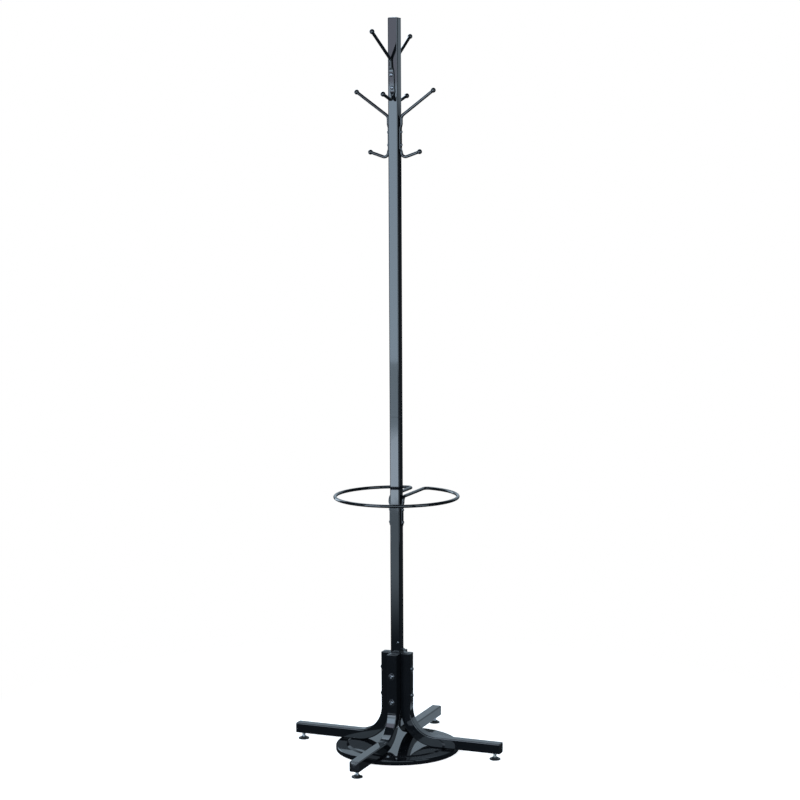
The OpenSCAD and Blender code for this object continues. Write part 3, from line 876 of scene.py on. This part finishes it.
def build_glide(side):
    place = on_side(side) @ Matrix.Translation((GLIDE_R, 0, 0))
    pad = lathe(filleted(PAD_OUTLINE), PAD_COUNT)
    piece(f"glide_foot_{side}", moved(pad, place), "glide_plastic", f"glide_pad_{side}", f"glide_pad_{side}")
    piece(f"glide_screw_{side}", moved(thread(STUD_BOTTOM, STUD_TOP), place), "zinc_steel",
          f"glide_stud_{side}", f"glide_stud_{side}", sharp=THREAD_SHARP_ANGLE)
    socket = lathe(filleted(INSERT_OUTLINE), INSERT_COUNT)
    piece(f"glide_socket_{side}", moved(socket, place), "black_fasteners", "rack", f"glide_insert_{side}")


build_column()
build_leg_fasteners()
build_disc()
build_ring()
build_hook_screws()
build_base_screws()
for side_name in SIDES:
    build_leg(side_name)
    build_hook(side_name)
    build_glide(side_name)
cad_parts["column_sleeve"].data.materials.clear()
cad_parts["column_sleeve"].data.materials.append(FINISHES["bare_sleeve"])

# ---- studio ----

CAMERA_AT = Vector((1.811, -4.459, 1.406))
CAMERA_HEADING = math.radians(21.99)
CAMERA_PITCH = math.radians(6.41)
CAMERA_ROLL = math.radians(-0.25)
LENS = 90.1
SENSOR = 36

COOL = (0.68, 0.85, 1.0)
FLOOR_REACH = 60
FLOOR_FADE = (0.45, 1.2)
FLOOR_PALE = (0.80, 0.84)
FLOOR_GLOW = 0.82

# What the enamel mirrors of the floor: centre of a glow, radii of its edge and middle, radiances there
NEAR_GLOW = ((0.03, 0.30, 0), 0.23, 0.15, 0.06, 0.9)
FAR_GLOW = ((-1.6, -3.6, 0), 2.85, 1.65, 0.0, 1.9)

# The backdrop behind the rack, in degrees from its middle or over the horizon, outer value first
BACKDROP_SIDE = (54, 47)
BACKDROP_TOP = (48, 30)
BACKDROP_FOOT = (1.2, 2.4)
STUDIO_DIM, BACKDROP_RADIANCE = 0.04, 0.85

PANELS_AT = (-0.80, -2.1)
PANELS_WIDTH = 1.2

# Panels of the soft box at the front left: name, low edge, high edge, radiance, colour
FRONT_PANELS = [("panel_low", 0.24, 0.50, 6.2, (0.70, 0.84, 1.0)),
                ("panel_gap", 0.50, 0.75, 3.8, (0.66, 0.84, 1.0)),
                ("panel_high", 0.75, 1.72, 6.8, (0.64, 0.82, 1.0)),
                ("panel_top", 1.72, 3.20, 2.9, (0.76, 0.81, 1.0))]

# The other soft boxes: name, place, point they face, width, height, radiance
SOFT_BOXES = [("camera_side_box", (2.4, -5.6, 2.4), (0, 0, 0.9), 6.5, 4.4, 3.4),
              ("back_box", (-0.80, 0.78, 2.15), (0, -0.08, 0.05), 0.9, 1.0, 3.4),
              ("right_box", (2.1, -0.85, 1.2), (0, 0, 1.2), 1.0, 2.2, 3.0),
              ("left_box", (-2.1, 0.85, 1.2), (0, 0, 1.2), 1.0, 2.2, 3.0)]


def build_camera():
    data = bpy.data.cameras.new("camera")
    data.lens, data.sensor_width = LENS, SENSOR
    camera = bpy.data.objects.new("camera", data)
    turned = Matrix.Rotation(CAMERA_HEADING, 4, "Z") @ Matrix.Rotation(math.pi / 2 - CAMERA_PITCH, 4, "X")
    camera.matrix_world = Matrix.Translation(CAMERA_AT) @ turned @ Matrix.Rotation(CAMERA_ROLL, 4, "Z")
    bpy.context.scene.collection.objects.link(camera)
    bpy.context.scene.camera = camera


def distance(tree, place, centre):
    """How far a place is from a centre."""
    made = node(tree, "ShaderNodeVectorMath", operation="DISTANCE")
    tree.links.new(place, made.inputs[0])
    made.inputs[1].default_value = centre
    return made.outputs["Value"]


def floor_glow(tree, place, centre, edge, middle, radiance_out, radiance_in):
    """Radiance of a round glow on the floor."""
    return ramp(tree, distance(tree, place, centre), edge, middle, radiance_out, radiance_in)


def degrees_ramp(tree, source, turned, outer, inner):
    """0 to 1 where source, the sine or cosine of an angle, goes from the outer angle to the inner."""
    return ramp(tree, source, turned(math.radians(outer)), turned(math.radians(inner)))


def build_floor():
    """Pale floor that takes a soft contact shadow and fades to white far from the rack. What the
    enamel mirrors of it is bright close behind the rack and far away at the front left only."""
    mesh = bpy.data.meshes.new("studio_floor")
    far = FLOOR_REACH
    mesh.from_pydata([(-far, -far, 0), (far, -far, 0), (far, far, 0), (-far, far, 0)], [], [(0, 1, 2, 3)])
    floor = bpy.data.objects.new("studio_floor", mesh)
    bpy.context.scene.collection.objects.link(floor)
    floor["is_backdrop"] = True
    material = bpy.data.materials.new("studio_floor")
    material.use_nodes = True
    tree = material.node_tree
    tree.nodes.clear()
    link = tree.links.new
    place = node(tree, "ShaderNodeTexCoord").outputs["Object"]
    fade = ramp(tree, distance(tree, place, (0, 0, 0)), *FLOOR_FADE)
    grain = node(tree, "ShaderNodeTexNoise", in_Scale=40.0, in_Detail=4.0)
    link(place, grain.inputs["Vector"])
    pale = node(tree, "ShaderNodeMapRange", in_To_Min=FLOOR_PALE[0], in_To_Max=FLOOR_PALE[1])
    link(grain.outputs["Fac"], pale.inputs["Value"])
    diffuse = node(tree, "ShaderNodeBsdfDiffuse")
    link(pale.outputs["Result"], diffuse.inputs["Color"])
    glow = node(tree, "ShaderNodeEmission", in_Strength=FLOOR_GLOW)
    both = node(tree, "ShaderNodeAddShader")
    link(diffuse.outputs["BSDF"], both.inputs[0])
    link(glow.outputs["Emission"], both.inputs[1])
    white = node(tree, "ShaderNodeEmission", in_Strength=1.0)
    seen = node(tree, "ShaderNodeMixShader")
    link(fade, seen.inputs["Fac"])
    link(both.outputs["Shader"], seen.inputs[1])
    link(white.outputs["Emission"], seen.inputs[2])
    glows = [floor_glow(tree, place, *spot) for spot in (NEAR_GLOW, FAR_GLOW)]
    mirrored = node(tree, "ShaderNodeEmission", in_Color=(*COOL, 1))
    link(maths(tree, "ADD", *glows), mirrored.inputs["Strength"])
    mix = node(tree, "ShaderNodeMixShader")
    link(node(tree, "ShaderNodeLightPath").outputs["Is Camera Ray"], mix.inputs["Fac"])
    link(mirrored.outputs["Emission"], mix.inputs[1])
    link(seen.outputs["Shader"], mix.inputs[2])
    out = node(tree, "ShaderNodeOutputMaterial")
    link(mix.outputs["Shader"], out.inputs["Surface"])
    mesh.materials.append(material)


def build_world():
    """White to the eye, and for reflections a white backdrop behind the rack in a dim studio."""
    world = bpy.data.worlds.new("studio")
    bpy.context.scene.world = world
    world.use_nodes = True
    tree = world.node_tree
    tree.nodes.clear()
    link = tree.links.new
    way = node(tree, "ShaderNodeTexCoord").outputs["Generated"]
    flat = node(tree, "ShaderNodeVectorMath", operation="MULTIPLY")
    link(way, flat.inputs[0])
    flat.inputs[1].default_value = (1, 1, 0)
    level = node(tree, "ShaderNodeVectorMath", operation="NORMALIZE")
    link(flat.outputs["Vector"], level.inputs[0])
    behind = node(tree, "ShaderNodeVectorMath", operation="DOT_PRODUCT")
    link(level.outputs["Vector"], behind.inputs[0])
    behind.inputs[1].default_value = (-math.sin(CAMERA_HEADING), math.cos(CAMERA_HEADING), 0)
    wide = degrees_ramp(tree, behind.outputs["Value"], math.cos, *BACKDROP_SIDE)
    split = node(tree, "ShaderNodeSeparateXYZ")
    link(way, split.inputs["Vector"])
    high = degrees_ramp(tree, split.outputs["Z"], math.sin, *BACKDROP_TOP)
    above = degrees_ramp(tree, split.outputs["Z"], math.sin, *BACKDROP_FOOT)
    glow = node(tree, "ShaderNodeMapRange", in_To_Min=STUDIO_DIM, in_To_Max=BACKDROP_RADIANCE)
    screen = maths(tree, "MULTIPLY", maths(tree, "MULTIPLY", wide, high), above)
    link(screen, glow.inputs["Value"])
    studio = node(tree, "ShaderNodeBackground", in_Color=(*COOL, 1))
    link(glow.outputs["Result"], studio.inputs["Strength"])
    plain = node(tree, "ShaderNodeBackground", in_Color=(1, 1, 1, 1))
    seen = node(tree, "ShaderNodeLightPath").outputs["Is Camera Ray"]
    mix = node(tree, "ShaderNodeMixShader")
    link(seen, mix.inputs["Fac"])
    link(studio.outputs["Background"], mix.inputs[1])
    link(plain.outputs["Background"], mix.inputs[2])
    out = node(tree, "ShaderNodeOutputWorld")
    link(mix.outputs["Shader"], out.inputs["Surface"])


def soft_box(name, at, towards, width, height, radiance, colour):
    """Area light of that radiance facing a point, unseen by the camera."""
    data = bpy.data.lights.new(name, "AREA")
    data.shape, data.size, data.size_y = "RECTANGLE", width, height
    data.energy = radiance * width * height * math.pi
    data.color = colour
    light = bpy.data.objects.new(name, data)
    facing = (Vector(towards) - Vector(at)).to_track_quat("-Z", "Y")
    light.matrix_world = Matrix.Translation(at) @ facing.to_matrix().to_4x4()
    light.visible_camera = False
    bpy.context.scene.collection.objects.link(light)


build_camera()
build_floor()
build_world()
for name, low, high, radiance, colour in FRONT_PANELS:
    middle = (low + high) / 2
    soft_box(name, (*PANELS_AT, middle), (0, 0, middle), PANELS_WIDTH, high - low, radiance, colour)
for box in SOFT_BOXES:
    soft_box(*box, COOL)
bpy.context.scene.view_settings.view_transform = "Standard"

low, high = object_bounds()
